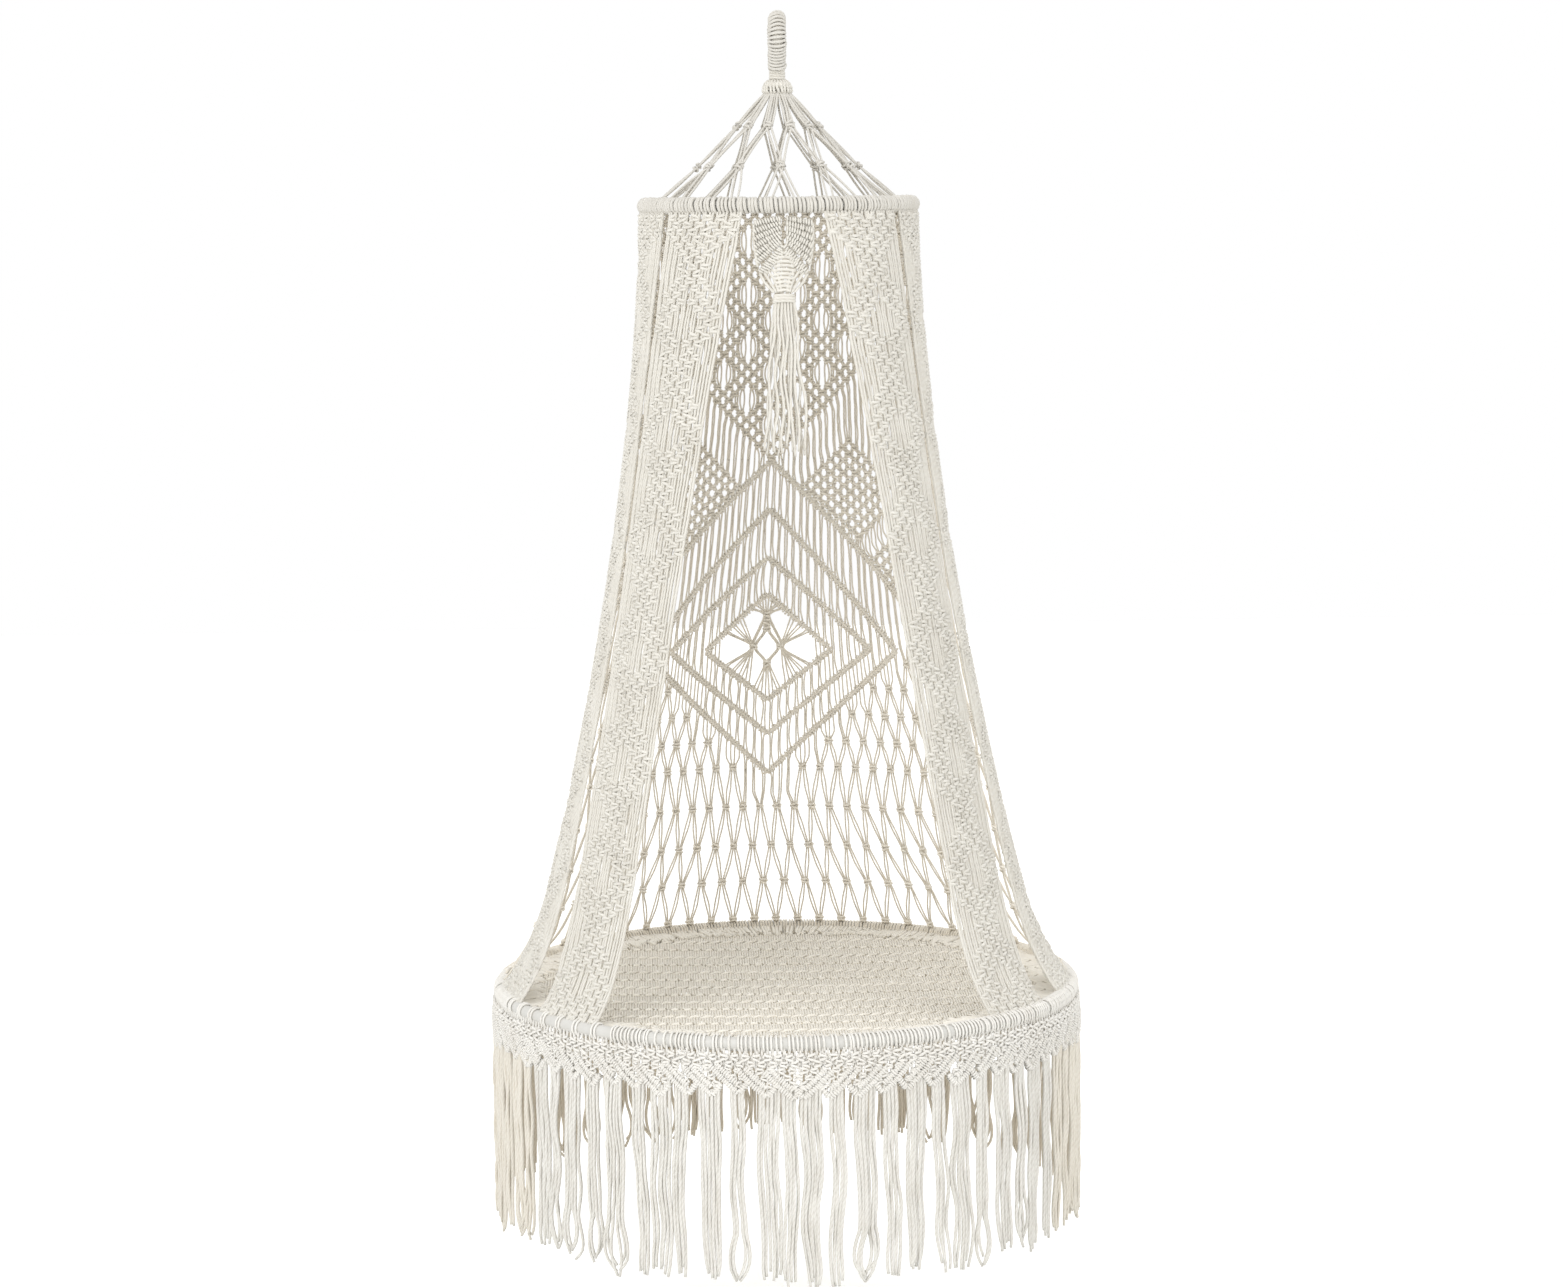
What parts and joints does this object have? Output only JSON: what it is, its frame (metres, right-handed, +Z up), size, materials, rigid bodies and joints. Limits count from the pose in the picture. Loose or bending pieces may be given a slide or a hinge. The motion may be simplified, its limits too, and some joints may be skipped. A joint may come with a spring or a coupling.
{
  "type": "hanging hammock chair",
  "caption": "Round knotted cotton hammock chair: a small and a large steel hoop hang from a whipped loop, with open front, knotted sides and back, woven seat and fringe.",
  "frame": {"origin": "where a hook bears on the inside of the hanging loop's top", "axes": "+Z up along the chair's hanging line, open front facing -Y, the sitter's left towards +X"},
  "size_m": [0.8172, 0.8172, 1.6668],
  "materials": {
    "cotton": "matt natural cotton cord",
    "cotton_shade": "matt natural cotton cord",
    "hoop_steel": "satin white paint"
  },
  "bodies": {
    "loop": {"hanging_loop": "cotton_shade", "loop_whipping": "cotton"},
    "neck": {"neck_knot": "cotton"},
    "collar": {"neck_collar": "cotton_shade"},
    "chair": {"collar_knots": "cotton", "suspension_net": "cotton", "upper_hoop": "hoop_steel", "upper_hoop_wrap": "cotton", "seat_hoop": "hoop_steel", "front_band_right": "cotton", "front_band_left": "cotton", "side_band_right": "cotton", "side_band_left": "cotton", "back_lattice_right": "cotton_shade", "back_diamond_right": "cotton_shade", "back_net_right": "cotton_shade", "back_lattice_inner_right": "cotton_shade", "back_diamond_inner_right": "cotton_shade", "back_net_inner_right": "cotton_shade", "back_lattice_inner_left": "cotton_shade", "back_diamond_inner_left": "cotton_shade", "back_net_inner_left": "cotton_shade", "back_lattice_left": "cotton_shade", "back_diamond_left": "cotton_shade", "back_net_left": "cotton_shade", "seat_weave": "cotton", "valance_01": "cotton", "valance_02": "cotton", "valance_03": "cotton", "valance_04": "cotton", "valance_05": "cotton", "valance_06": "cotton", "valance_07": "cotton", "valance_08": "cotton", "valance_09": "cotton", "valance_10": "cotton", "valance_11": "cotton", "valance_12": "cotton"},
    "ornament": {"ornament_leaf_right": "cotton", "ornament_leaf_left": "cotton", "ornament_diamond": "cotton", "ornament_gather": "cotton_shade"},
    "tassel": {"ornament_tassel": "cotton"}
  },
  "joints": [
    {"name": "fore_aft_swing", "type": "hinge", "parent": "loop", "child": "neck", "pos_m": [0, 0, -0.0688], "axis": [1, 0, 0], "range_deg": [-20, 20]},
    {"name": "side_swing", "type": "hinge", "parent": "neck", "child": "collar", "pos_m": [0, 0, -0.0688], "axis": [0, 1, 0], "range_deg": [-20, 20]},
    {"name": "rope_twist", "type": "hinge", "parent": "collar", "child": "chair", "pos_m": [0, 0, -0.0688], "axis": [0, 0, 1], "range_deg": [-180, 180]},
    {"name": "ornament_swing", "type": "hinge", "parent": "chair", "child": "ornament", "pos_m": [0, -0.1815, -0.256], "axis": [1, 0, 0], "range_deg": [-60, 30]},
    {"name": "tassel_swing", "type": "hinge", "parent": "ornament", "child": "tassel", "pos_m": [0, -0.1815, -0.3788], "axis": [1, 0, 0], "range_deg": [-40, 40]}
  ]
}
